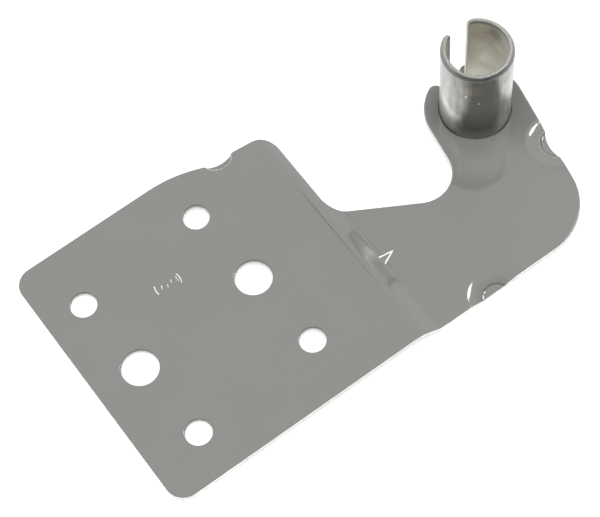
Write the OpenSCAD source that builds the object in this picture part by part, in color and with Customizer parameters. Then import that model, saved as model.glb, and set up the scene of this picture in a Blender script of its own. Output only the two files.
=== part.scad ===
// Upper hinge for a fridge door: a pressed steel plate with a rolled hollow pin.
// The origin is the centre of the screw pattern on the face that lies on the cabinet.
// X and Y run along the rows of screw holes, and +Z points the way the pin stands.

/* [Sheet] */
// Thickness of the steel sheet
sheet_t = 2; // [1.6:0.1:3]
// Angle between the rows of screw holes and the edges of the blank
blank_turn = 4.6; // [0:0.1:8]

/* [Base] */
// Distance from the pattern's centre to the rear edge
base_rear = 31.3; // [27:0.1:40]
// Distance from the pattern's centre to the edge beside the throat
base_side = 45.5; // [44:0.1:50]
// Distance from the pattern's centre to the long front edge
base_front = 37; // [34:0.1:42]
// Distance from the pattern's centre to the back edge
base_back = 38.3; // [36:0.1:44]
// Radius of the base's corners
base_corner_r = 5; // [2:0.1:8]

/* [Lowered shoulder of the base] */
// Where the back edge starts to fall, from the pattern's centre
shoulder_x = 17.7; // [14:0.1:20]
// Slope of the falling edge
shoulder_angle = 20; // [14:0.5:26]
// Radius that blends the back edge into the fall
shoulder_r = 38; // [10:1:40]
// How far the shoulder's outer end lies below the back edge
shoulder_fall = 5.1; // [4:0.1:7]
// Slope of the shoulder's own edge
shoulder_slope = 5.5; // [3:0.1:8]
// Radius of the shoulder's outer corner
shoulder_corner_r = 5.6; // [2:0.1:8]

/* [Joggle] */
// Where the step down to the arm begins, from the pattern's centre
joggle_x = 43.5; // [41:0.1:46]
// Step by which the arm lies below the base
joggle_drop = 2.5; // [1.2:0.1:4]
// Angle of the step's sloping web
joggle_angle = 30; // [20:1:40]
// Inner radius of both bends
bend_r = 3; // [1:0.1:4]

/* [Screw holes] */
// Distance between screw holes along X
screw_pitch_x = 37; // [30:0.5:42]
// Distance between screw holes along Y
screw_pitch_y = 46; // [40:0.5:50]
// Diameter of a screw hole
screw_d = 7; // [4.5:0.1:8]

/* [Locating holes] */
// Distance between the two locating holes along X
locating_pitch = 37; // [30:0.5:42]
// Diameter of a locating hole
locating_d = 9.8; // [6:0.1:12]

/* [Arm] */
// Distance from the pattern's centre to the pin's axis along the blank
pin_x = 93.9; // [88:0.1:105]
// Distance from the pattern's centre to the pin's axis across the blank
pin_y = 7.1; // [2:0.1:12]
// How far the arm's front edge lies outside the base's front edge
arm_step = 0.6; // [0.2:0.1:2]
// Height of the inner corner above the pattern's centre
inner_corner_y = 5.3; // [0:0.1:8]
// Radius of the inner corner
inner_corner_r = 8.2; // [3:0.1:10]
// Slope of the arm's back edge, from the inner corner down to the throat
arm_slope = 30.4; // [24:0.1:34]
// Radius of the throat beside the boss
throat_r = 8.8; // [5:0.1:10]
// Lean of the neck's edge that runs from the throat to the boss
neck_lean = 9.1; // [5:0.1:12]
// Lean of the arm's outer edge
outer_lean = 11.4; // [8:0.1:14]
// Radius of the arm's big outer corner
outer_corner_r = 16.5; // [10:0.1:20]

/* [Boss] */
// Width of the sheet left round the pin
boss_wall = 4; // [3:0.1:7]
// Radius of the corners where the cable slot opens
slot_mouth_r = 2; // [0.8:0.1:3]

/* [Pin] */
// Outer diameter of the pin
pin_d = 18.8; // [16:0.1:20]
// Wall of the strip that the pin is rolled from
pin_wall = 1.5; // [1.2:0.1:2]
// Height of the pin above the arm
pin_rise = 30.5; // [20:0.5:40]
// Angle of the open seam
seam_angle = 40; // [20:1:60]
// Radius of the seam's top corners
seam_corner_r = 2; // [1:0.1:3]
// Height of the lead-in on the pin's top edge
lead_in_h = 1.2; // [0.4:0.1:2]
// Depth of the lead-in on the pin's top edge
lead_in_d = 0.7; // [0.2:0.1:0.9]
// Chamfer round the inside of the pin's top edge
inner_lead_in = 0.2; // [0.1:0.05:0.25]
// Chamfer round the foot of the pin, where it meets the arm
foot_chamfer = 0.3; // [0.1:0.05:0.4]

/* [Staked joint] */
// How far the shoulder of the pin overhangs its spigot
spigot_step = 0.5; // [0.45:0.05:0.6]
// Clearance between spigot and hole, each side
spigot_clearance = 0.05; // [0.02:0.01:0.1]
// Depth and width of the countersink that the pin's end is flared into
stake_size = 0.7; // [0.4:0.05:1]
// Depth and width of the punch mark inside the flared end
punch_size = 0.5; // [0.2:0.05:0.8]

/* [Carrier dents] */
// Radius of the round punch that pressed the dents
dent_r = 4.2; // [3:0.1:5]
// Depth of a dent's floor below the sheet
dent_depth = 1; // [0.6:0.1:1.2]
// Width of the sloping rim round a dent
dent_rim_w = 1.9; // [0.5:0.1:2.5]
// Depth of the sloping rim
dent_rim_h = 0.3; // [0.1:0.05:0.5]
// Distance from the base's side to the shoulder's dent
shoulder_dent_inset = 14.9; // [12:0.1:16]
// How far the shoulder's dent reaches in from the edge
shoulder_dent_reach = 2.6; // [2:0.1:3.2]
// Place of the outer edge's dent, below the pin's axis
outer_dent_y = 20.5; // [19:0.1:22]
// How far the outer edge's dent reaches in from the edge
outer_dent_reach = 3.7; // [2:0.1:4]
// Distance back from the pin's axis to the front edge's dent
front_dent_back = 28.9; // [20:0.1:33]
// How far the front edge's dent reaches in from the edge
front_dent_reach = 2.6; // [2:0.1:3.2]
// How far the lips of the back and outer dents stop short of the edge
lip_trim = 0.6; // [0.2:0.1:1]
// Width of the lip left standing at each end of that trimmed stretch
lip_side = 0.2; // [0.1:0.05:0.4]

/* [Hidden] */
$fn = 96;
// How far a cut runs past a face
past = 1;
// How far each round stands proud of its tangents, so that the edges cross and don't just touch
proud = 0.002;
// How far in degrees the boss's disc runs on past its touching points
lap = 3;
// A length larger than any part of the blank
far = 200;

pin_r = pin_d / 2;
bore_r = pin_r - pin_wall;
boss_r = pin_r + boss_wall;
pin_axis = [pin_x, pin_y];
// The slot in the boss is as wide as the pin's open seam
slot_w = 2 * pin_r * sin(seam_angle / 2);
spigot_r = pin_r - spigot_step;
pin_hole_r = spigot_r + spigot_clearance;
front_y = -base_front - arm_step;
arm_top = -joggle_drop;
arm_bottom = arm_top - sheet_t;

// Corners of the sheet's section along the blank, on its upper face
joggle_end_x = joggle_x + joggle_drop / tan(joggle_angle);
// How far the lower face's corners lie behind those of the upper face
bend_shift = sheet_t * tan(joggle_angle / 2);
sheet_profile = [
    [[-far, 0], 0],
    [[-far, -sheet_t], 0],
    [[joggle_x - bend_shift, -sheet_t], bend_r],
    [[joggle_end_x - bend_shift, arm_bottom], bend_r + sheet_t],
    [[far, arm_bottom], 0],
    [[far, arm_top], 0],
    [[joggle_end_x, arm_top], bend_r],
    [[joggle_x, 0], bend_r + sheet_t],
];

// Directions of the two edges that run up to the boss, and their touching points on it
neck_angle = 90 - neck_lean;
outer_angle = 90 - outer_lean;
neck_touch = pin_axis + boss_r * direction(neck_angle + 90);
outer_touch = pin_axis + boss_r * direction(outer_angle - 90);
inner_corner = [base_side, inner_corner_y];
throat_corner = crossing(inner_corner, -arm_slope, neck_touch, neck_angle);
outer_corner = crossing([0, front_y], 0, outer_touch, outer_angle);
shoulder_outer = [base_side, base_back - shoulder_fall];
shoulder_top = [shoulder_x, base_back];
shoulder_foot = crossing(shoulder_top, -shoulder_angle, shoulder_outer, -shoulder_slope);

// Corners of the blank, each with its radius, running anticlockwise
blank_corners = [
    [[-base_rear, -base_front], base_corner_r],
    [[joggle_x - bend_r, -base_front], 0],
    [[joggle_end_x + bend_r, front_y], 0],
    [outer_corner, outer_corner_r],
    [outer_touch, 0],
    [pin_axis + boss_r / 2 * direction(90), 0],
    [neck_touch, 0],
    [throat_corner, throat_r],
    [inner_corner, inner_corner_r],
    [shoulder_outer, shoulder_corner_r],
    [shoulder_foot, 0],
    [shoulder_top, shoulder_r],
    [[-base_rear, base_back], base_corner_r],
];

// Each dent: a point of its edge, the edge's direction, its reach, the face's level, its trim
shoulder_dent_edge = crossing(shoulder_outer, -shoulder_slope, [base_side - shoulder_dent_inset, 0], 90);
outer_dent_edge = crossing(outer_touch, outer_angle, [0, pin_y - outer_dent_y], 0);
dents = [
    [shoulder_dent_edge, 180 - shoulder_slope, shoulder_dent_reach, 0, lip_trim],
    [outer_dent_edge, outer_angle, outer_dent_reach, arm_top, lip_trim],
    [[pin_x - front_dent_back, front_y], 0, front_dent_reach, arm_top, 0],
];

// Centres of the round corners where the slot leaves the boss, from the pin's axis
mouth_x = slot_w / 2 + slot_mouth_r;
mouth_y = sqrt(pow(boss_r - slot_mouth_r, 2) - mouth_x * mouth_x);
// Points on the boss where those corners end
mouth_end = boss_r / (boss_r - slot_mouth_r) * [mouth_x, mouth_y];

function direction(a) = [cos(a), sin(a)];
function unit(v) = v / norm(v);
function turn(a, b) = a[0] * b[1] - a[1] * b[0];
// Where the line through p at angle a meets the line through q at angle b
function crossing(p, a, q, b) =
    p + direction(a) * turn(q - p, direction(b)) / turn(direction(a), direction(b));
// Corner i of a list and its two neighbours' directions
function to_last(c, i) = unit(c[(i + len(c) - 1) % len(c)][0] - c[i][0]);
function to_next(c, i) = unit(c[(i + 1) % len(c)][0] - c[i][0]);
// Half the angle between a corner's two edges
function half_angle(c, i) = acos(to_last(c, i) * to_next(c, i)) / 2;
function is_convex(c, i) = turn(to_next(c, i), to_last(c, i)) > 0;
// Where a corner's round ends on the edge towards d, or a point that lies further out
function round_end(c, i, d, further = 0) = c[i][0] + d * (c[i][1] / tan(half_angle(c, i)) + further);
// How far before its end a round that stands proud crosses the straight edge
function crossing_reach(r) = sqrt(2 * r * proud);
function round_centre(c, i) =
    c[i][0] + unit(to_last(c, i) + to_next(c, i)) * c[i][1] / sin(half_angle(c, i));
// The corner's points on the polygon: one if it is sharp, two if it is round
function corner_points(c, i) =
    c[i][1] == 0 ? [c[i][0]] : [round_end(c, i, to_last(c, i)), round_end(c, i, to_next(c, i))];

// Slice of a disc between angles a and b
module sector(r, a, b) {
    steps = 6;
    intersection() {
        circle(r);
        polygon(concat([[0, 0]], [for (i = [0:steps]) 2 * r * direction(a + (b - a) * i / steps)]));
    }
}

// Segment of a disc that carries a corner's round. Its tip lies as far inside the chord
// as the arc lies outside it, and its sides pass just outside the round's ends.
module round_slice(c, i) {
    r = c[i][1];
    centre = round_centre(c, i);
    outwards = unit(c[i][0] - centre);
    tip = round_end(c, i, to_last(c, i)) + round_end(c, i, to_next(c, i)) - centre - r * outwards;
    first = round_end(c, i, to_last(c, i), 2 * crossing_reach(r));
    second = round_end(c, i, to_next(c, i), 2 * crossing_reach(r));
    intersection() {
        translate(centre) circle(r + proud);
        polygon([tip, first, first + r * outwards, second + r * outwards, second]);
    }
}

// Outline through a list of corners, each with a true arc of its own radius
module rounded_outline(c) {
    round_ones = [for (i = [0:len(c) - 1]) if (c[i][1] > 0) i];
    difference() {
        union() {
            polygon([for (i = [0:len(c) - 1]) each corner_points(c, i)]);
            for (i = round_ones) if (is_convex(c, i)) round_slice(c, i);
        }
        for (i = round_ones) if (!is_convex(c, i)) round_slice(c, i);
    }
}

// Half of the cable slot with its flared mouth, on the side that s gives
module slot_half(s) {
    difference() {
        polygon([for (p = [
            [0, 0],
            [slot_w / 2, 0],
            [slot_w / 2, mouth_y],
            [mouth_x, mouth_y],
            mouth_end,
            [mouth_x, far],
            [0, far],
        ]) [s * p[0], p[1]]]);
        translate([s * mouth_x, mouth_y]) circle(slot_mouth_r + 2 * proud);
    }
}

// Strip outside a dent's edge, less the part of the lip that is trimmed away
module dent_trim(d) {
    translate(d[0]) rotate(d[1]) intersection() {
        translate([0, d[2] - dent_r]) circle(dent_r - lip_side);
        translate([-dent_r, -2 * dent_r]) square([2 * dent_r, 2 * dent_r + d[4]]);
    }
}

// Outline of the cut blank, with the boss but without its round holes
module blank_outline() {
    difference() {
        union() {
            rounded_outline(blank_corners);
            translate(pin_axis) sector(boss_r + proud, outer_angle - 90 - lap, neck_angle + 90 + lap);
        }
        translate(pin_axis) {
            slot_half(1);
            slot_half(-1);
        }
        for (d = dents) if (d[4] > 0) dent_trim(d);
    }
}

// Round dent pressed into the sheet's edge from above
module dent_cut(d) {
    translate([d[0][0], d[0][1], d[3]]) rotate(d[1]) translate([0, d[2] - dent_r, 0]) {
        translate([0, 0, -dent_depth]) cylinder(h = dent_depth + past, r = dent_r);
        translate([0, 0, -dent_rim_h])
            cylinder(h = dent_rim_h, r1 = dent_r, r2 = dent_r + dent_rim_w);
        cylinder(h = past, r = dent_r + dent_rim_w);
    }
}

// Hole for the pin's spigot, with the countersink below that its end is flared into
module pin_seat() {
    translate([pin_x, pin_y, arm_bottom]) {
        translate([0, 0, -past]) cylinder(h = sheet_t + 2 * past, r = pin_hole_r);
        cylinder(h = stake_size, r1 = pin_hole_r + stake_size, r2 = pin_hole_r);
        translate([0, 0, -past]) cylinder(h = past, r = pin_hole_r + stake_size);
    }
}

module drilled(p, d) {
    translate([p[0], p[1], -sheet_t - past]) cylinder(h = sheet_t + 2 * past, d = d);
}

module hinge_plate() {
    color("#92958e") difference() {
        rotate(-blank_turn) difference() {
            intersection() {
                translate([0, 0, arm_bottom - past])
                    linear_extrude(sheet_t + joggle_drop + 2 * past) blank_outline();
                translate([0, far, 0]) rotate([90, 0, 0])
                    linear_extrude(2 * far) rounded_outline(sheet_profile);
            }
            for (d = dents) dent_cut(d);
            pin_seat();
        }
        for (x = [-1, 1]) {
            for (y = [-1, 1]) drilled([x * screw_pitch_x, y * screw_pitch_y] / 2, screw_d);
            drilled([x * locating_pitch / 2, 0], locating_d);
        }
    }
}

// Half section of the pin, from its axis outwards, with the arm's upper face at zero
pin_section = [
    [bore_r, punch_size - sheet_t],
    [bore_r + punch_size, -sheet_t],
    [spigot_r + stake_size, -sheet_t],
    [spigot_r, stake_size - sheet_t],
    [spigot_r, 0],
    [pin_r - foot_chamfer, 0],
    [pin_r, foot_chamfer],
    [pin_r, pin_rise - lead_in_h],
    [pin_r - lead_in_d, pin_rise],
    [bore_r + inner_lead_in, pin_rise],
    [bore_r, pin_rise - inner_lead_in],
];

// Takes the square corner off the top of one side of the seam, at angle a
module seam_corner_cut(a, side) {
    rotate(a) translate([bore_r - past, 0, pin_rise - seam_corner_r]) rotate([90, 0, 90])
        difference() {
            translate([side > 0 ? -past : -seam_corner_r, 0, 0])
                cube([seam_corner_r + past, seam_corner_r + past, pin_wall + 2 * past]);
            translate([side * seam_corner_r, 0, -past])
                cylinder(h = pin_wall + 4 * past, r = seam_corner_r);
        }
}

module hinge_pin() {
    seam_start = 90 + seam_angle / 2;
    color("#a9aaa3") rotate(-blank_turn) translate([pin_x, pin_y, arm_top]) difference() {
        rotate(seam_start) rotate_extrude(angle = 360 - seam_angle) polygon(pin_section);
        seam_corner_cut(seam_start, 1);
        seam_corner_cut(seam_start - seam_angle, -1);
    }
}

hinge_plate();
hinge_pin();
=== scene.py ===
import math

import bpy
from mathutils import Matrix, Vector
from mathutils.bvhtree import BVHTree
from mathutils.geometry import delaunay_2d_cdt


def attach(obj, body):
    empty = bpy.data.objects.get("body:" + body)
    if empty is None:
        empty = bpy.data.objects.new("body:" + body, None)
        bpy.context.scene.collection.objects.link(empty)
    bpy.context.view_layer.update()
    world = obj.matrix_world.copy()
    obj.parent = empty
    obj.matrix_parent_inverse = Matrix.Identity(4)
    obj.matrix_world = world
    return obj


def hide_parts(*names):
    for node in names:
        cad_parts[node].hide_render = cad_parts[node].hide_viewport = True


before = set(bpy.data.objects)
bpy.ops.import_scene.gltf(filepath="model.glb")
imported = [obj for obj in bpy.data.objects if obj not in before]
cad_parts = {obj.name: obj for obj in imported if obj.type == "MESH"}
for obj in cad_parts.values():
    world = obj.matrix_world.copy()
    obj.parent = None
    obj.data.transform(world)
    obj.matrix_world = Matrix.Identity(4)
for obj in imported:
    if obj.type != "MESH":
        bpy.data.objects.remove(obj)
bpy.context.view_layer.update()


# The hinge plate: one pressing of 2 mm mild steel sheet, painted warm grey. It is blanked and pierced in the
# flat, joggled down to its arm, and coined at three places of its edge. Its cut edges keep the bands of the
# shear: a rolled-over upper edge, a burnished band and a rougher broken one below it.
mm = 0.001
blank_turn = math.radians(4.6)
sheet, joggle_drop, incline = 2.0, 2.5, math.radians(30)
bend_start = 43.5 - 5 * math.tan(incline / 2)
bend_end = 43.5 + joggle_drop / math.tan(incline) + 3 * math.tan(incline / 2)
pin_axis = Vector((93.9, 7.1))
boss_r, pin_hole_r, flare_r, slot_half, mouth_r = 13.4, 8.95, 9.65, 3.215, 2.0


def blank_point(x, y, z=0.0):
    """A point of the unturned blank, in mm, in the hinge's own frame in metres."""
    turned = Matrix.Rotation(-blank_turn, 3, "Z") @ Vector((x, y, z))
    return turned * mm


def towards(degrees):
    return Vector((math.cos(math.radians(degrees)), math.sin(math.radians(degrees))))


def crossing(p, a, q, b):
    """Where the line through p at angle a meets the line through q at angle b."""
    return p + towards(a) * ((q - p).cross(towards(b)) / towards(a).cross(towards(b)))


def arc(centre, radius, start, sweep, spacing=0.35):
    steps = max(3, math.ceil(abs(math.radians(sweep)) * radius / spacing))
    return [centre + radius * towards(start + sweep * i / steps) for i in range(steps + 1)]


def rounded(corners):
    """Points of an outline through corners, each given as a place and the radius of its own arc."""
    points = []
    for i, (corner, radius) in enumerate(corners):
        if not radius:
            points.append(corner)
            continue
        back = (corners[i - 1][0] - corner).normalized()
        ahead = (corners[(i + 1) % len(corners)][0] - corner).normalized()
        half = back.angle(ahead) / 2
        centre = corner + (back + ahead).normalized() * (radius / math.sin(half))
        start = corner + back * (radius / math.tan(half)) - centre
        end = corner + ahead * (radius / math.tan(half)) - centre
        points += arc(centre, radius, math.degrees(math.atan2(start.y, start.x)),
                      math.degrees(math.atan2(start.cross(end), start.dot(end))))
    return points


def even(loop, longest=1.2):
    """A closed loop with its long straights cut up and no doubled points."""
    points = []
    for i, here in enumerate(loop):
        gap = here - loop[i - 1]
        pieces = math.ceil(gap.length / longest) if gap.length > 1e-4 else 0
        points += [loop[i - 1] + gap * k / pieces for k in range(1, pieces + 1)]
    return points


def inset(loop, distance):
    """A loop moved into the sheet, which lies on its left."""
    moved = []
    for i, here in enumerate(loop):
        before = (here - loop[i - 1]).normalized()
        after = (loop[(i + 1) % len(loop)] - here).normalized()
        left = (before + after).orthogonal().normalized()
        moved.append(here + left * distance / max(0.5, math.cos(before.angle(after) / 2)))
    return moved


def along(table, x):
    """The value at x on a chain of (x, value) pairs."""
    for (x0, low), (x1, high) in zip(table, table[1:]):
        if x < x1:
            return low + (high - low) * max(0.0, x - x0) / (x1 - x0)
    return table[-1][1]


neck, outer = 80.9, 78.6
neck_touch = pin_axis + boss_r * towards(neck + 90)
outer_touch = pin_axis + boss_r * towards(outer - 90)
inner_corner, shoulder_outer = Vector((45.5, 5.3)), Vector((45.5, 33.2))
shoulder_top, front_corner = Vector((17.7, 38.3)), crossing(Vector((0, -37.6)), 0, outer_touch, outer)

# Each dent: a point of its edge, the way that the edge runs, its reach, how far its lip is drawn in, and the
# radius out to which the punch has drawn the sheet down
punch_r = 4.2
dents = [(crossing(shoulder_outer, -5.5, Vector((30.6, 0)), 90), 174.5, 2.6, 1.0, 5.6),
         (crossing(outer_touch, outer, Vector((0, -13.4)), 0), outer, 3.2, 1.0, 7.9),
         (Vector((65, -37.6)), 0, 2.6, 0, 8.3)]
dent_centres = [edge + towards(way + 90) * (reach - punch_r) for edge, way, reach, lip, shoulder in dents]


def dent_profile(shoulder):
    """Depths of a dent over the distance from its centre: floor, wall, and a shoulder that fades out."""
    steps = [(shoulder + 0.3, 0.0)]
    depth, slope, radius = 0.0, 0.0, shoulder
    while radius > punch_r:
        steps.append((radius, depth))
        slope = min(0.25, slope + 0.0417) if radius > shoulder - 2.1 else max(0.2, slope - 0.02)
        radius, depth = radius - 0.35, depth + slope * 0.35
    return ((0, 1.0), (3.76, 1.0), (3.94, 0.95), (4.06, (1.0 + depth) / 2), (punch_r, depth), *steps[::-1])


dent_steps = [dent_profile(shoulder) for edge, way, reach, lip, shoulder in dents]


def drawn_lip(edge, way, reach, lip, shoulder):
    """Corners of the stretch of edge that the punch has drawn in to a hollow curve."""
    half = math.sqrt(punch_r ** 2 - (reach - punch_r) ** 2)
    return [(edge + towards(way) * half * i / 8 + towards(way + 90) * lip * (1 - (i / 8) ** 2), 0)
            for i in range(-8, 9)]


mouth_x = slot_half + mouth_r
mouth = Vector((mouth_x, math.sqrt((boss_r - mouth_r) ** 2 - mouth_x ** 2)))
mouth_turn = math.degrees(math.atan2(mouth.y, mouth.x))
slot_turn = math.degrees(math.acos(slot_half / pin_hole_r))
boss = (arc(pin_axis, boss_r, outer - 90, mouth_turn - outer + 90)
        + arc(pin_axis + mouth, mouth_r, mouth_turn, 180 - mouth_turn)
        + arc(pin_axis, pin_hole_r, slot_turn, -180 - 2 * slot_turn)
        + arc(pin_axis + Vector((-mouth.x, mouth.y)), mouth_r, 0, 180 - mouth_turn)
        + arc(pin_axis, boss_r, 180 - mouth_turn, neck - 90 + mouth_turn))
outline = even(rounded(
    [(Vector((-31.3, -37)), 5), (Vector((40.5, -37)), 0), (Vector((50.83, -37.6)), 0), (front_corner, 16.5)]
    + drawn_lip(*dents[1]) + [(point, 0) for point in boss]
    + [(crossing(inner_corner, -30.4, neck_touch, neck), 8.8), (inner_corner, 8.2), (shoulder_outer, 5.6)]
    + drawn_lip(*dents[0])
    + [(crossing(shoulder_top, -20, shoulder_outer, -5.5), 0), (shoulder_top, 38), (Vector((-31.3, 38.3)), 5)]))
holes = [even(arc(Matrix.Rotation(blank_turn, 2) @ Vector((x * 18.5, y * 23)), 3.5 if y else 4.9, 0, -360))
         for x in (-1, 1) for y in (-1, 0, 1)]

# Each stamped mark: its path, its half width, its depth and whether it is bare steel, which also stands in for the
# highlights on its walls
ring_centre = Vector((0, 13.1))
# The bare arcs of the ring are painted highlights on its walls
marks = [(arc(ring_centre, 3.5, 155, 40), 0.15, 0.08, True), (arc(ring_centre, 3.5, -28, 46), 0.13, 0.07, True),
         (arc(ring_centre, 2.8, -18, 30), 0.09, 0.05, True), (arc(ring_centre, 3.5, 45, 85), 0.14, 0.02, False),
         ([Vector((-1.9, 12.9)), Vector((-1.5, 13.8))], 0.1, 0.05, True),
         ([Vector((-0.4, 12.4)), Vector((-0.1, 13.2))], 0.1, 0.05, True),
         ([Vector((1.0, 13.0)), Vector((1.3, 13.7))], 0.1, 0.05, True),
         ([Vector((47.8, -12.5)), Vector((51.5, -13.0))], 0.18, 0.08, True),
         ([Vector((48.0, -14.7)), Vector((51.5, -13.0))], 0.21, 0.10, True)]


def mark_at(place):
    """How deep the marks go at a place, and whether they are bare there."""
    depth, bare = 0.0, False
    for path, half, deepest, bare_as_highlight in marks:
        if (place - path[0]).length > 8:
            continue
        for a, b in zip(path, path[1:]):
            share = min(1.0, max(0.0, (place - a).dot(b - a) / (b - a).length_squared))
            gap = (place - a.lerp(b, share)).length / half
            if gap < 0.999 and deepest * (1 - gap) > depth:
                depth, bare = deepest * (1 - gap), bare_as_highlight
    return depth, bare


points, lines, loops = [], [], []


def draw(path, closed=True):
    """Puts a line on the blank that the faces follow."""
    first, count = len(points), len(path)
    points.extend(path)
    lines.extend((first + i, first + (i + 1) % count) for i in range(count if closed else count - 1))
    return list(range(first, first + count))


rolled_edge = ((0, 0.13), (0.02, 0.09), (0.09, 0.03), (0.28, 0))
broken_edge = ((0, 0.05), (0.02, 0.03), (0.09, 0))
loops = [draw(loop) for loop in (outline, *holes)]
flat_again = 0.16
for loop in (outline, *holes):
    for distance in (*(distance for distance, fall in rolled_edge[1:]), 0.28 + flat_again):
        draw(inset(loop, distance))
for i in range(6):
    for x in (bend_start + 0.5 * i, bend_end - 0.5 * i):
        draw([Vector((x, -45)), Vector((x, 45))], False)
for x in (bend_start - flat_again, bend_end + flat_again):
    draw([Vector((x, -45)), Vector((x, 45))], False)
for centre, steps in zip(dent_centres, dent_steps):
    for radius, depth in steps[1:]:
        draw(arc(centre, radius, 0, 360)[:-1])
for radius in (flare_r, flare_r + flat_again):
    draw(arc(pin_axis, radius, 0, 360)[:-1])
for path, half, depth, bare_as_highlight in marks:
    draw(path, False)
    for width in (half, half + flat_again):
        ahead, behind = (path[-1] - path[-2]).normalized() * width, (path[0] - path[1]).normalized() * width
        aside = [(b - a).normalized().orthogonal() * width for a, b in zip(path, [*path[1:], 2 * path[-1] - path[-2]])]
        draw([p + s for p, s in zip(path, aside)] + [path[-1] + ahead]
             + [p - s for p, s in zip(path, aside)][::-1] + [path[0] + behind])

places, _, triangles, _, _, owners = delaunay_2d_cdt(points, lines, loops, 0, 1e-5, True)
triangles = [t for t, inside in zip(triangles, owners) if len(inside) == len(loops)]
number = {old: new for new, old in enumerate(sorted({v for t in triangles for v in t}))}
places = [places[old] for old in number]
triangles = [[number[v] for v in t] for t in triangles]
sides = {(t[i - 1], t[i]) for t in triangles for i in range(3)}
rim = sorted(side for side in sides if side[::-1] not in sides)

walls, quads = [], []
for loop in (outline, *holes):
    first = len(walls)
    walls += [(*place, z) for place in loop for z in (-1, 1)]
    quads += [[first + (2 * i + k) % (2 * len(loop)) for k in (0, 2, 3, 1)] for i in range(len(loop))]
cut_edge = BVHTree.FromPolygons(walls, quads)


def joggled(x, level, first_r, second_r):
    """Height of one face of the sheet at x along the blank, through both bends of the joggle."""
    first_end, second_start = bend_start + first_r * math.sin(incline), bend_end - second_r * math.sin(incline)
    if x < first_end:
        return level - first_r + math.sqrt(first_r ** 2 - max(0.0, x - bend_start) ** 2)
    if x > second_start:
        return level - joggle_drop + second_r - math.sqrt(second_r ** 2 - max(0.0, bend_end - x) ** 2)
    return level - first_r * (1 - math.cos(incline)) - (x - first_end) * math.tan(incline)


taper = 0.05
inwards = [Vector((0, 0)) for place in places]
for a, b in rim:
    left = (places[b] - places[a]).orthogonal().normalized()
    inwards[a] += left
    inwards[b] += left
upper, lower = [], []
for i, place in enumerate(places):
    nearest, _, _, gap = cut_edge.find_nearest((*place, 0))
    if inwards[i].length > 0:
        gap = 0.0
    else:
        inwards[i] = place - nearest.xy
    inwards[i].normalize()
    dent = max(along(steps, (place - centre).length) for centre, steps in zip(dent_centres, dent_steps))
    upper.append((*place, joggled(place.x, 0, 5, 3) - dent - mark_at(place)[0] - along(rolled_edge, gap)))
    flare = max(0.0, flare_r - (place - pin_axis).length)
    below = place + inwards[i] * taper * max(0.0, 1 - gap / 0.28)
    lower.append((*below, joggled(place.x, -sheet, 3, 5) + flare + along(broken_edge, gap)))

vertices, faces = upper + lower, triangles + [[v + len(places) for v in reversed(t)] for t in triangles]
levels = {}
for v in sorted({v for side in rim for v in side}):
    levels[v] = [v]
    for share, lean in ((0.40, 0), (0.48, 0.3), (0.75, 0.6)):
        place = places[v] + inwards[v] * taper * lean
        levels[v].append(len(vertices))
        vertices.append((*place, upper[v][2] + (lower[v][2] - upper[v][2]) * share))
    levels[v].append(v + len(places))
for a, b in rim:
    for k in range(4):
        faces.append((levels[a][k], levels[a][k + 1], levels[b][k + 1], levels[b][k]))

mesh = bpy.data.meshes.new("plate")
mesh.from_pydata([blank_point(*vertex) for vertex in vertices], [], faces)
plate = bpy.data.objects.new("plate", mesh)
bpy.context.scene.collection.objects.link(plate)


def settle_modifiers(piece):
    """Turns a piece with its modifiers into a plain mesh."""
    depsgraph = bpy.context.evaluated_depsgraph_get()
    made = bpy.data.meshes.new_from_object(piece.evaluated_get(depsgraph))
    piece.modifiers.clear()
    piece.data = made


def smooth_but_sharp(piece, angle):
    """Smooth shading that keeps the flat faces flat and the corners sharp."""
    piece.data.shade_smooth()
    piece.data.set_sharp_from_angle(angle=math.radians(angle))
    weighted = piece.modifiers.new("flat faces", "WEIGHTED_NORMAL")
    weighted.keep_sharp = True
    weighted.weight = 100
    settle_modifiers(piece)


smooth_but_sharp(plate, 50)


def add(tree, kind, inputs=None, **settings):
    """Adds a node. An input is a value or the socket that feeds it."""
    made = tree.nodes.new(kind)
    for key, value in settings.items():
        setattr(made, key, value)
    for key, value in (inputs or {}).items():
        if isinstance(value, bpy.types.NodeSocket):
            tree.links.new(value, made.inputs[key])
        else:
            made.inputs[key].default_value = value
    return made


def new_finish(name):
    """A new material, its node tree, its shader and the piece's own coordinates."""
    material = bpy.data.materials.new(name)
    material.use_nodes = True
    tree = material.node_tree
    place = add(tree, "ShaderNodeTexCoord").outputs["Object"]
    return material, tree, tree.nodes["Principled BSDF"], place


def noise(tree, place, grain, detail=3.0, roughness=0.5, stretch=None):
    """Noise with grains of the given size in metres, stretched along each axis."""
    if stretch:
        place = add(tree, "ShaderNodeMapping", {"Vector": place, "Scale": stretch}).outputs[0]
    return add(tree, "ShaderNodeTexNoise", {"Vector": place, "Scale": 1 / grain, "Detail": detail,
                                            "Roughness": roughness}).outputs["Fac"]


def blend(tree, factor, *stops):
    """A colour ramp over a factor: pairs of a place and a colour."""
    ramp = add(tree, "ShaderNodeValToRGB", {"Fac": factor})
    while len(ramp.color_ramp.elements) < len(stops):
        ramp.color_ramp.elements.new(0.5)
    for element, (at, colour) in zip(ramp.color_ramp.elements, stops):
        element.position = at
        element.color = (*colour, 1)
    return ramp.outputs["Color"]


def spread(tree, factor, low, high, start=0.0, end=1.0):
    """Spreads a factor over a range of values."""
    return add(tree, "ShaderNodeMapRange", {"Value": factor, "From Min": start, "From Max": end,
                                            "To Min": low, "To Max": high}).outputs["Result"]


def reckon(tree, operation, *terms):
    return add(tree, "ShaderNodeMath", dict(enumerate(terms)), operation=operation).outputs[0]


def set_inputs(tree, shader, inputs):
    for key, value in inputs.items():
        if isinstance(value, bpy.types.NodeSocket):
            tree.links.new(value, shader.inputs[key])
        else:
            shader.inputs[key].default_value = value


paint, tree, shader, place = new_finish("warm_grey_paint")
clouds = noise(tree, place, 22 * mm, 3)


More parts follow.
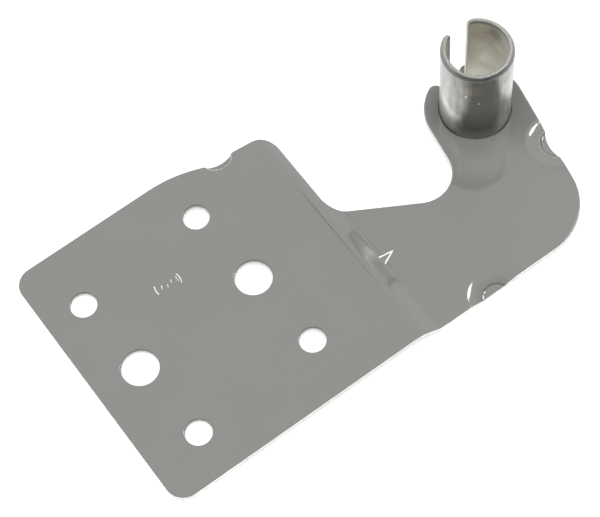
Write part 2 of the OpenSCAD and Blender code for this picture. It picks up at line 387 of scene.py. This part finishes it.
def away_from(tree, place, point):
    """Distance of a piece's surface from a point, both in metres."""
    return add(tree, "ShaderNodeVectorMath", {0: place, 1: point}, operation="DISTANCE").outputs["Value"]


def away_from_axis(tree, place):
    """Distance of a piece's surface from the pin's axis, in metres."""
    level = add(tree, "ShaderNodeVectorMath", {0: place, 1: (1, 1, 0)}, operation="MULTIPLY").outputs[0]
    return away_from(tree, level, blank_point(*pin_axis))


def mixed(tree, factor, colour, other):
    return add(tree, "ShaderNodeMix", {0: factor, 6: colour, 7: (*other, 1)}, data_type="RGBA").outputs[2]


# Painted shade darkens the dents' floors, the foot of their walls and the shoulders round them, and a painted highlight
# lightens their rims
coat = blend(tree, clouds, (0.3, (0.217, 0.226, 0.207)), (0.7, (0.228, 0.232, 0.216)))
edge_noise = noise(tree, place, 1.1 * mm, 2)
# For each dent: the strength of the painted shade on its floor, of the painted shade at the foot of its wall, of the
# painted highlight on its rim and of the painted shade on its shoulder
for centre, floor, corner, painted_rim_highlight, painted_shoulder_shade_strength in zip(dent_centres, (0.05, 0, 0.1), (0.15, 0.9, 0.95), (0.8, 0.25, 0),
                                                 (0, 0.1, 0.3)):
    depth = joggle_drop if centre.x > bend_end else 0
    gap = away_from(tree, place, blank_point(*centre, -depth - 0.8))
    ragged = reckon(tree, "ADD", gap, spread(tree, edge_noise, -0.12 * mm, 0.12 * mm, 0.3, 0.7))
    # Painted shade on the floor of the dent
    coat = mixed(tree, reckon(tree, "MULTIPLY", spread(tree, gap, 1, 0, 3.9 * mm, 4.05 * mm), floor), coat,
                 (0.13, 0.135, 0.125))
    # Painted shade in the corner at the foot of the dent's wall
    painted_corner_shade = reckon(tree, "MULTIPLY", spread(tree, ragged, 0, 1, 3.6 * mm, 3.8 * mm),
                  spread(tree, ragged, 1, 0, 4.05 * mm, 4.15 * mm))
    coat = mixed(tree, reckon(tree, "MULTIPLY", painted_corner_shade, corner), coat, (0.05, 0.05, 0.045))
    # Painted shade on the shoulder round the dent
    painted_shoulder_shade = reckon(tree, "MULTIPLY", spread(tree, gap, 0, painted_shoulder_shade_strength, 3.9 * mm, 4.2 * mm),
                    spread(tree, ragged, 1, 0, 4.4 * mm, 6.2 * mm))
    coat = mixed(tree, painted_shoulder_shade, coat, (0.07, 0.07, 0.062))
    # Painted highlight on the rim of the dent
    rim = reckon(tree, "MULTIPLY", spread(tree, gap, 0, 1, 4.15 * mm, 4.22 * mm),
                 spread(tree, ragged, 1, 0, 4.35 * mm, 4.6 * mm))
    coat = mixed(tree, reckon(tree, "MULTIPLY", rim, painted_rim_highlight), coat, (0.62, 0.62, 0.59))
from_axis = away_from_axis(tree, place)
# Painted shadow: a dark ring on the paint round the foot of the pin
coat = mixed(tree, spread(tree, from_axis, 0.9, 0, 9.55 * mm, 9.8 * mm), coat, (0.03, 0.03, 0.028))
# Painted light: the paint on the boss in front of the pin is lighter
painted_light_before_pin = away_from(tree, place, blank_point(*(pin_axis + 13 * towards(235)), -joggle_drop))
coat = mixed(tree, spread(tree, painted_light_before_pin, 1, 0, 4 * mm, 9.5 * mm), coat, (0.31, 0.315, 0.297))
peel = add(tree, "ShaderNodeBump", {"Height": noise(tree, place, 1.3 * mm, 2), "Strength": 0.05,
                                    "Distance": 0.03 * mm})
set_inputs(tree, shader, {
    "Base Color": coat,
    "Roughness": spread(tree, noise(tree, place, 6 * mm, 4), 0.05, 0.08, 0.3, 0.7),
    "Specular IOR Level": 1.0,
    "Normal": peel.outputs["Normal"]})

bare, tree, shader, place = new_finish("sheared_steel_edge")
on_blank = add(tree, "ShaderNodeMapping", {"Vector": place, "Rotation": (0, 0, blank_turn)}).outputs[0]
axes = add(tree, "ShaderNodeSeparateXYZ", {0: on_blank}).outputs
face = spread(tree, axes["X"], 0, -joggle_drop * mm, 43.0 * mm, 48.0 * mm)
depth = spread(tree, reckon(tree, "SUBTRACT", face, axes["Z"]), 0, 1, 0, sheet * mm)
dull = spread(tree, depth, 0.55, 1, 0.07, 0.09)
shear = noise(tree, place, 0.35 * mm, 3, stretch=(1, 1, 0.12))
torn = reckon(tree, "MULTIPLY", noise(tree, place, 0.22 * mm, 4), spread(tree, depth, 0, 1, 0.4, 0.5))
steel = blend(tree, reckon(tree, "MULTIPLY", dull, reckon(tree, "SUBTRACT", shear, reckon(tree, "MULTIPLY", torn, 0.35))),
              (0.1, (0.42, 0.42, 0.40)), (0.25, (0.70, 0.69, 0.66)), (0.7, (0.86, 0.85, 0.83)))
level = add(tree, "ShaderNodeVectorMath", {0: place, 1: (1, 1, 0)}, operation="MULTIPLY").outputs[0]
in_hole = 0
for x in (-18.5, 18.5):
    for y in (-23, 0, 23):
        near = reckon(tree, "LESS_THAN", away_from(tree, level, Vector((x, y, 0)) * mm), 5.2 * mm)
        in_hole = reckon(tree, "MAXIMUM", in_hole, near)
# Painted shade: the upper part of each hole's wall is darkened
lip = reckon(tree, "MULTIPLY", in_hole, spread(tree, depth, 1, 0, 0.25, 0.8))
set_inputs(tree, shader, {
    "Base Color": mixed(tree, lip, steel, (0.11, 0.11, 0.105)),
    "Metallic": 1.0,
    "Roughness": spread(tree, depth, 0.28, 0.5, 0.38, 0.52),
    "Normal": add(tree, "ShaderNodeBump", {"Height": reckon(tree, "ADD", shear, torn), "Strength": 0.3,
                                           "Distance": 0.05 * mm}).outputs["Normal"]})

plate.data.materials.append(paint)
plate.data.materials.append(bare)
for i, face in enumerate(plate.data.polygons):
    if i < len(triangles):
        middle = sum((places[v] for v in triangles[i]), Vector((0, 0))) / 3
        face.material_index = 1 if mark_at(middle)[1] else 0
    else:
        face.material_index = 0 if i < 2 * len(triangles) else 1
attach(plate, "root")
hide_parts("hinge_plate")


# The hollow pin: a strip of 1.5 mm steel with rounded upper corners, rolled round to a tube with an open seam.
# It has a lead-in at its head and a spigot at its foot, which is flared in the boss's countersink. It is plated
# and a little worn, with the streaks of the rolling along it and a few stains. Its tint also carries painted light:
# painted shade at its foot, a painted dark reflection at its front and head, a lighter bore and two pale patches.
pin_r, wall, rise, spigot_r = 9.4, 1.5, 30.5, 8.9
bore_r = pin_r - wall
section = [(bore_r, 0.5 - sheet), (bore_r + 0.5, -sheet), (spigot_r + 0.7, -sheet), (spigot_r, 0.7 - sheet),
           (spigot_r, 0), (pin_r - 0.3, 0), (pin_r, 0.3), (pin_r, rise - 1.2), (pin_r - 0.7, rise),
           (bore_r + 0.2, rise), (bore_r, rise - 0.2)]
mesh = bpy.data.meshes.new("strip_section")
mesh.from_pydata([(x * mm, y * mm, 0) for x, y in section], [(i - 1, i) for i in range(1, len(section))]
                 + [(len(section) - 1, 0)], [])
pin = bpy.data.objects.new("pin", mesh)
bpy.context.scene.collection.objects.link(pin)

plating, tree, shader, place = new_finish("worn_plating_and_painted_light")
streaks = noise(tree, place, 0.8 * mm, 3, stretch=(1, 1, 0.04))
haze = noise(tree, place, 5 * mm, 4)


def stain_and_painted_light_spot(centre, size):
    """A soft spot round a point of the piece, given in mm."""
    gap = away_from(tree, place, Vector(centre) * mm)
    ragged = reckon(tree, "ADD", gap, spread(tree, haze, -0.35 * size * mm, 0.35 * size * mm, 0.3, 0.7))
    return spread(tree, ragged, 1, 0, 0.4 * size * mm, size * mm)


from_axis = away_from_axis(tree, place)
inside = spread(tree, from_axis, 1, 0, (bore_r + 0.2) * mm, (bore_r + 0.6) * mm)
height = add(tree, "ShaderNodeSeparateXYZ", {0: place}).outputs["Z"]
patches = noise(tree, place, 2.6 * mm, 4, 0.6, (1, 1, 0.22))
tint = blend(tree, patches, (0.32, (0.33, 0.33, 0.31)), (0.5, (0.44, 0.44, 0.415)), (0.68, (0.52, 0.515, 0.49)))
level = add(tree, "ShaderNodeVectorMath", {0: place, 1: (1, 1, 0)}, operation="MULTIPLY").outputs[0]
# Painted dark reflection: a patch on the front of the pin is darkened, most of all low down
facing = away_from(tree, level, blank_point(*pin_axis) + pin_r * mm * Vector((-0.629, -0.777, 0)))
ragged = reckon(tree, "ADD", facing, spread(tree, patches, -1.3 * mm, 1.3 * mm, 0.3, 0.7))
front = spread(tree, ragged, 1, 0, 3.8 * mm, 8.0 * mm)
tint = mixed(tree, reckon(tree, "MULTIPLY", front, 0.9), tint, (0.18, 0.18, 0.17))
tint = mixed(tree, reckon(tree, "MULTIPLY", front, spread(tree, height, 0.9, 0, 2 * mm, 14 * mm)), tint, (0.055, 0.055, 0.052))
# Painted shade: the pin is darker towards its foot
tint = mixed(tree, spread(tree, height, 0.6, 0, -2.5 * mm, 3 * mm), tint, (0.28, 0.28, 0.265))
# Painted light: the bore has a lighter tint than the outside
tint = mixed(tree, reckon(tree, "MULTIPLY", inside, spread(tree, patches, 1, 0.7, 0.3, 0.7)), tint, (0.66, 0.645, 0.57))
# Painted shade inside the bore, under the head
shade = reckon(tree, "MULTIPLY", inside, spread(tree, height, 0, 0.35, 19 * mm, 27 * mm))
tint = mixed(tree, shade, tint, (0.42, 0.41, 0.36))
# Painted dark reflection on the head of the pin, darker still on its lead-in
tint = mixed(tree, spread(tree, height, 0, 0.9, 26.5 * mm, 26.9 * mm), tint, (0.29, 0.29, 0.28))
painted_dark_lead_in = reckon(tree, "MULTIPLY", spread(tree, height, 0, 0.7, 26.6 * mm, 26.9 * mm),
                 spread(tree, from_axis, 0, 1, 8.75 * mm, 8.85 * mm))
tint = mixed(tree, painted_dark_lead_in, tint, (0.19, 0.19, 0.178))
# Painted shadow: the spigot, below the face of the sheet, is nearly black
tint = mixed(tree, spread(tree, height, 0.9, 0, -2.2 * mm, -1.9 * mm), tint, (0.05, 0.05, 0.047))
# Soft spots: the two broad pale patches, low on the left and on the right, are painted light; the brown ones are
# stains; then a dark spot inside under the head and three small pale specks
for centre, size, colour, strength in (((85.3, 2.8, 5.5), 7.0, (0.75, 0.75, 0.72), 0.8),
                                       ((102.0, -0.9, 12.0), 8.0, (0.84, 0.81, 0.72), 0.8),
                                       ((86.9, -6.4, 22.1), 3.2, (0.42, 0.35, 0.27), 0.4),
                                       ((100.5, 4.2, 21.5), 4.0, (0.50, 0.42, 0.33), 0.5),
                                       ((101.9, 1.3, 23.8), 3.0, (0.30, 0.29, 0.27), 0.6),
                                       ((88.3, -7.8, 16.1), 0.45, (0.9, 0.9, 0.88), 0.9),
                                       ((86.1, -5.2, 19.0), 0.6, (0.85, 0.85, 0.82), 0.7),
                                       ((100.5, 4.2, 10.5), 0.5, (0.85, 0.85, 0.80), 0.6)):
    tint = mixed(tree, reckon(tree, "MULTIPLY", stain_and_painted_light_spot(centre, size), strength), tint, colour)
set_inputs(tree, shader, {
    "Base Color": tint,
    "Metallic": 1.0,
    "Roughness": reckon(tree, "ADD", spread(tree, haze, 0.2, 0.3, 0.3, 0.7), reckon(tree, "MULTIPLY", inside, 0.28)),
    "Normal": add(tree, "ShaderNodeBump", {"Height": streaks, "Strength": 0.5,
                                           "Distance": 0.09 * mm}).outputs["Normal"]})

rolling = bpy.data.node_groups.new("strip_rolled_to_a_pin", "GeometryNodeTree")
rolling.interface.new_socket("Section", in_out="INPUT", socket_type="NodeSocketGeometry")
sizes = {"Middle radius": (bore_r + wall / 2) * mm, "Seam angle": math.radians(40), "Corner radius": 2 * mm,
         "Edge rounding": 0.14 * mm, "Half of rise": rise / 2 * mm, "Burr allowance": 0.1 * mm}
names = {name: rolling.interface.new_socket(name, in_out="INPUT", socket_type="NodeSocketFloat").identifier
         for name in sizes}
rolling.interface.new_socket("Pin", in_out="OUTPUT", socket_type="NodeSocketGeometry")
given = add(rolling, "NodeGroupInput").outputs
length = reckon(rolling, "MULTIPLY", given["Middle radius"], reckon(rolling, "SUBTRACT", 2 * math.pi,
                                                                   given["Seam angle"]))
line = add(rolling, "GeometryNodeCurvePrimitiveLine",
           {"End": add(rolling, "ShaderNodeCombineXYZ", {"X": length}).outputs[0]}).outputs["Curve"]
line = add(rolling, "GeometryNodeResampleCurve", {"Curve": line, "Count": 240}).outputs["Curve"]
loop = add(rolling, "GeometryNodeMeshToCurve", {"Mesh": given["Section"]}).outputs["Curve"]
loop = add(rolling, "GeometryNodeFilletCurve", {"Curve": loop, "Radius": given["Edge rounding"], "Count": 3,
                                                "Limit Radius": True}, mode="POLY").outputs["Curve"]
strip = add(rolling, "GeometryNodeCurveToMesh", {"Curve": line, "Profile Curve": loop,
                                                 "Fill Caps": True}).outputs["Mesh"]

# The flat strip lies along X. Its outer side faces -Y and its head -Z.
axes = add(rolling, "ShaderNodeSeparateXYZ", {0: add(rolling, "GeometryNodeInputPosition").outputs[0]}).outputs
to_seam = reckon(rolling, "MINIMUM", axes["X"], reckon(rolling, "SUBTRACT", length, axes["X"]))
short = reckon(rolling, "MAXIMUM", reckon(rolling, "SUBTRACT", given["Corner radius"], to_seam), 0)
fall = reckon(rolling, "SUBTRACT", given["Corner radius"], reckon(rolling, "SQRT", reckon(
    rolling, "SUBTRACT", reckon(rolling, "POWER", given["Corner radius"], 2), reckon(rolling, "POWER", short, 2))))
height = reckon(rolling, "MULTIPLY", axes["Z"], -1)
at_head = reckon(rolling, "GREATER_THAN", height, given["Half of rise"])
height = reckon(rolling, "SUBTRACT", height, reckon(rolling, "MULTIPLY", fall, at_head))
at_seam = reckon(rolling, "LESS_THAN", to_seam, given["Burr allowance"])
reach = reckon(rolling, "MULTIPLY", axes["Y"], -1)
thinned = reckon(rolling, "ADD", given["Middle radius"],
                 reckon(rolling, "MULTIPLY", reckon(rolling, "SUBTRACT", reach, given["Middle radius"]),
                        reckon(rolling, "SUBTRACT", 1, reckon(rolling, "MULTIPLY", at_seam, 0.16))))
turn = reckon(rolling, "SUBTRACT", reckon(rolling, "SUBTRACT", math.pi / 2 - blank_turn, reckon(
    rolling, "DIVIDE", given["Seam angle"], 2)), reckon(rolling, "DIVIDE", axes["X"], given["Middle radius"]))
rolled = add(rolling, "ShaderNodeCombineXYZ", {
    "X": reckon(rolling, "MULTIPLY", thinned, reckon(rolling, "COSINE", turn)),
    "Y": reckon(rolling, "MULTIPLY", thinned, reckon(rolling, "SINE", turn)), "Z": height}).outputs[0]
foot = blank_point(*pin_axis, -joggle_drop)
tube = add(rolling, "GeometryNodeSetPosition", {"Geometry": strip, "Position": rolled, "Offset": foot}).outputs[0]
tube = add(rolling, "GeometryNodeRealizeInstances", {"Geometry": tube}).outputs[0]
tube = add(rolling, "GeometryNodeSetMaterial", {"Geometry": tube, "Material": plating}).outputs[0]
add(rolling, "NodeGroupOutput", {"Pin": tube})
shaping = pin.modifiers.new("rolled strip", "NODES")
shaping.node_group = rolling
for name, value in sizes.items():
    shaping[names[name]] = value
settle_modifiers(pin)
smooth_but_sharp(pin, 50)
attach(pin, "root")
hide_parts("hinge_pin")


# The studio: a pale table that the hinge lies on, touched by the rear edge of its base and by the bend of
# its arm. A softbox overhead shows in the paint, a low panel stands on the right, and the room is dark.
boss_point = blank_point(*pin_axis)
away = Vector((0.574, 0.819, 0))
across = Vector((0.819, -0.574, 0))


def stand_in(name, corners, material):
    """A flat sheet of the studio through four corners, in metres."""
    sheet_mesh = bpy.data.meshes.new(name)
    sheet_mesh.from_pydata(corners, [], [(0, 1, 2, 3)])
    made = bpy.data.objects.new(name, sheet_mesh)
    bpy.context.scene.collection.objects.link(made)
    made.data.materials.append(material)
    return made


white, tree, shader, place = new_finish("table_white")
tree.nodes.remove(shader)
rays = add(tree, "ShaderNodeLightPath").outputs
to_eye = reckon(tree, "MINIMUM", reckon(tree, "ADD", rays["Is Camera Ray"], rays["Is Transmission Ray"]), 1)
to_pin = add(tree, "ShaderNodeVectorMath", {0: place, 1: boss_point}, operation="DISTANCE").outputs["Value"]
gloss = reckon(tree, "ADD", spread(tree, to_pin, 0, 0.45, 0.0105, 0.0135), spread(tree, to_pin, 0.9, 0, 0.0078, 0.0086))
glow = reckon(tree, "ADD", reckon(tree, "MULTIPLY", to_eye, 0.62),
              reckon(tree, "MULTIPLY", rays["Is Glossy Ray"], gloss))
paper = add(tree, "ShaderNodeBsdfDiffuse", {"Color": (0.8, 0.8, 0.8, 1)})
light = add(tree, "ShaderNodeEmission", {"Strength": glow})
both = add(tree, "ShaderNodeAddShader", {0: paper.outputs[0], 1: light.outputs[0]})
one_sided = add(tree, "ShaderNodeMixShader", {0: add(tree, "ShaderNodeNewGeometry").outputs["Backfacing"],
                                              1: both.outputs[0],
                                              2: add(tree, "ShaderNodeBsdfTransparent").outputs[0]})
tree.links.new(one_sided.outputs[0], tree.nodes["Material Output"].inputs["Surface"])
lean = joggle_drop / 81.3
corners = []
for far, wide in ((-0.36, 1.2), (1.2, 1.2), (1.2, -1.2), (-0.36, -1.2)):
    corner = boss_point + away * far + across * wide
    on_blank = Matrix.Rotation(blank_turn, 3, "Z") @ corner
    corners.append((corner.x, corner.y, -0.00201 - lean * (on_blank.x + 0.0313)))
stand_in("table", corners, white)


def add_panel(name, middle, width, height, radiance):
    """A flat light of a given radiance that faces the hinge. Gloss shows the tent in its place."""
    lamp = bpy.data.lights.new(name, "AREA")
    lamp.shape = "RECTANGLE"
    lamp.size, lamp.size_y = width, height
    lamp.energy = radiance * math.pi * width * height
    panel = bpy.data.objects.new(name, lamp)
    bpy.context.scene.collection.objects.link(panel)
    panel.location = boss_point + middle
    panel.rotation_euler = middle.to_track_quat("Z", "Y").to_euler()
    panel.visible_camera = False
    panel.visible_glossy = False


add_panel("softbox", away * -0.25 + Vector((0, 0, 1.2)), 1.05, 1.55, 2.02)
add_panel("side_panel", Vector((1.33, 0.437, 0.44)), 2.2, 0.86, 1.7)

# The tent shows in gloss alone. It is white, but for a dark slot behind the hinge, its low front opening and
# what lies below the table.
cloth, tree, shader, place = new_finish("tent_cloth")
tree.nodes.remove(shader)
way = add(tree, "ShaderNodeVectorMath", {0: place, 1: boss_point}, operation="SUBTRACT").outputs[0]
axes = add(tree, "ShaderNodeSeparateXYZ",
           {0: add(tree, "ShaderNodeVectorMath", {0: way}, operation="NORMALIZE").outputs[0]}).outputs
slot = 1
for axis, start, end, soft in (("X", 0.31, 0.385, 0.006), ("Y", 0.305, 0.374, 0.006), ("Z", 0.846, 0.8805, 0.002)):
    for edge, step in ((start, soft), (end, -soft)):
        slot = reckon(tree, "MULTIPLY", slot, spread(tree, axes[axis], 0, 1, edge, edge + step))
toward_front = add(tree, "ShaderNodeVectorMath", {0: way, 1: -away}, operation="DOT_PRODUCT").outputs["Value"]
front = reckon(tree, "MULTIPLY", spread(tree, toward_front, 0, 1, 0.9, 1.3), spread(tree, axes["Z"], 1, 0, 0.17, 0.21))
below = spread(tree, axes["Z"], 1, 0, -0.02, 0)
dark = reckon(tree, "MAXIMUM", slot, reckon(tree, "MAXIMUM", front, below))
near_camera = reckon(tree, "MULTIPLY", spread(tree, toward_front, 0, 1, 0.2, 0.9), spread(tree, axes["Z"], 1, 0, 0.9, 0.97))
looks = add(tree, "ShaderNodeLightPath").outputs["Glossy Depth"]
second_look = reckon(tree, "GREATER_THAN", looks, 1.5)
bright = spread(tree, reckon(tree, "MULTIPLY", near_camera, second_look), 1.35, 2.8)
toward_lamp = add(tree, "ShaderNodeVectorMath", {0: way, 1: (0.44 / 3, 0.085 / 3, 0.894 / 3)},
                  operation="DOT_PRODUCT").outputs["Value"]
lamp = reckon(tree, "MULTIPLY", spread(tree, toward_lamp, 0, 12, 0.9956, 0.9965),
              reckon(tree, "SUBTRACT", 1, second_look))
low = reckon(tree, "MULTIPLY", spread(tree, toward_front, 0, 4.5, 0.6, 1.5), spread(tree, axes["Z"], 1, 0, 0.4, 0.55))
for more in (lamp, reckon(tree, "MULTIPLY", low, second_look), spread(tree, axes["X"], 0, -0.05, 0.6, 0.8)):
    bright = reckon(tree, "ADD", bright, more)
tree.links.new(add(tree, "ShaderNodeEmission", {
    "Strength": reckon(tree, "MULTIPLY", bright, spread(tree, dark, 1, 0.11))}).outputs[0],
    tree.nodes["Material Output"].inputs["Surface"])
cloth.cycles.emission_sampling = "NONE"
bpy.ops.mesh.primitive_uv_sphere_add(segments=64, ring_count=32, radius=3)
tent = bpy.context.object
tent.name = "tent"
tent.data.transform(Matrix.Translation(boss_point))
tent.data.shade_smooth()
tent.data.materials.append(cloth)
for kind in ("camera", "diffuse", "transmission", "shadow", "volume_scatter"):
    setattr(tent, "visible_" + kind, False)

world = bpy.data.worlds.new("white_surroundings")
bpy.context.scene.world = world
world.use_nodes = True
tree = world.node_tree
rays = add(tree, "ShaderNodeLightPath")
tree.nodes["Background"].inputs["Color"].default_value = (1, 1, 1, 1)
tree.links.new(spread(tree, rays.outputs["Is Diffuse Ray"], 1.0, 0.30),
               tree.nodes["Background"].inputs["Strength"])

eye = Vector((-100.66, -196.63, 489.56)) * mm
forward = Vector((0.24222528, 0.3554151, -0.90277739))
upward = Vector((0.60520182, 0.67192071, 0.42691138))
lens = bpy.data.cameras.new("camera")
lens.sensor_width = 36
lens.lens = 128.01
lens.clip_start, lens.clip_end = 0.01, 20
camera = bpy.data.objects.new("camera", lens)
bpy.context.scene.collection.objects.link(camera)
sideways = forward.cross(upward)
camera.matrix_world = Matrix.Translation(eye) @ Matrix((sideways, upward, -forward)).transposed().to_4x4()
bpy.context.scene.camera = camera
bpy.context.scene.view_settings.view_transform = "Standard"
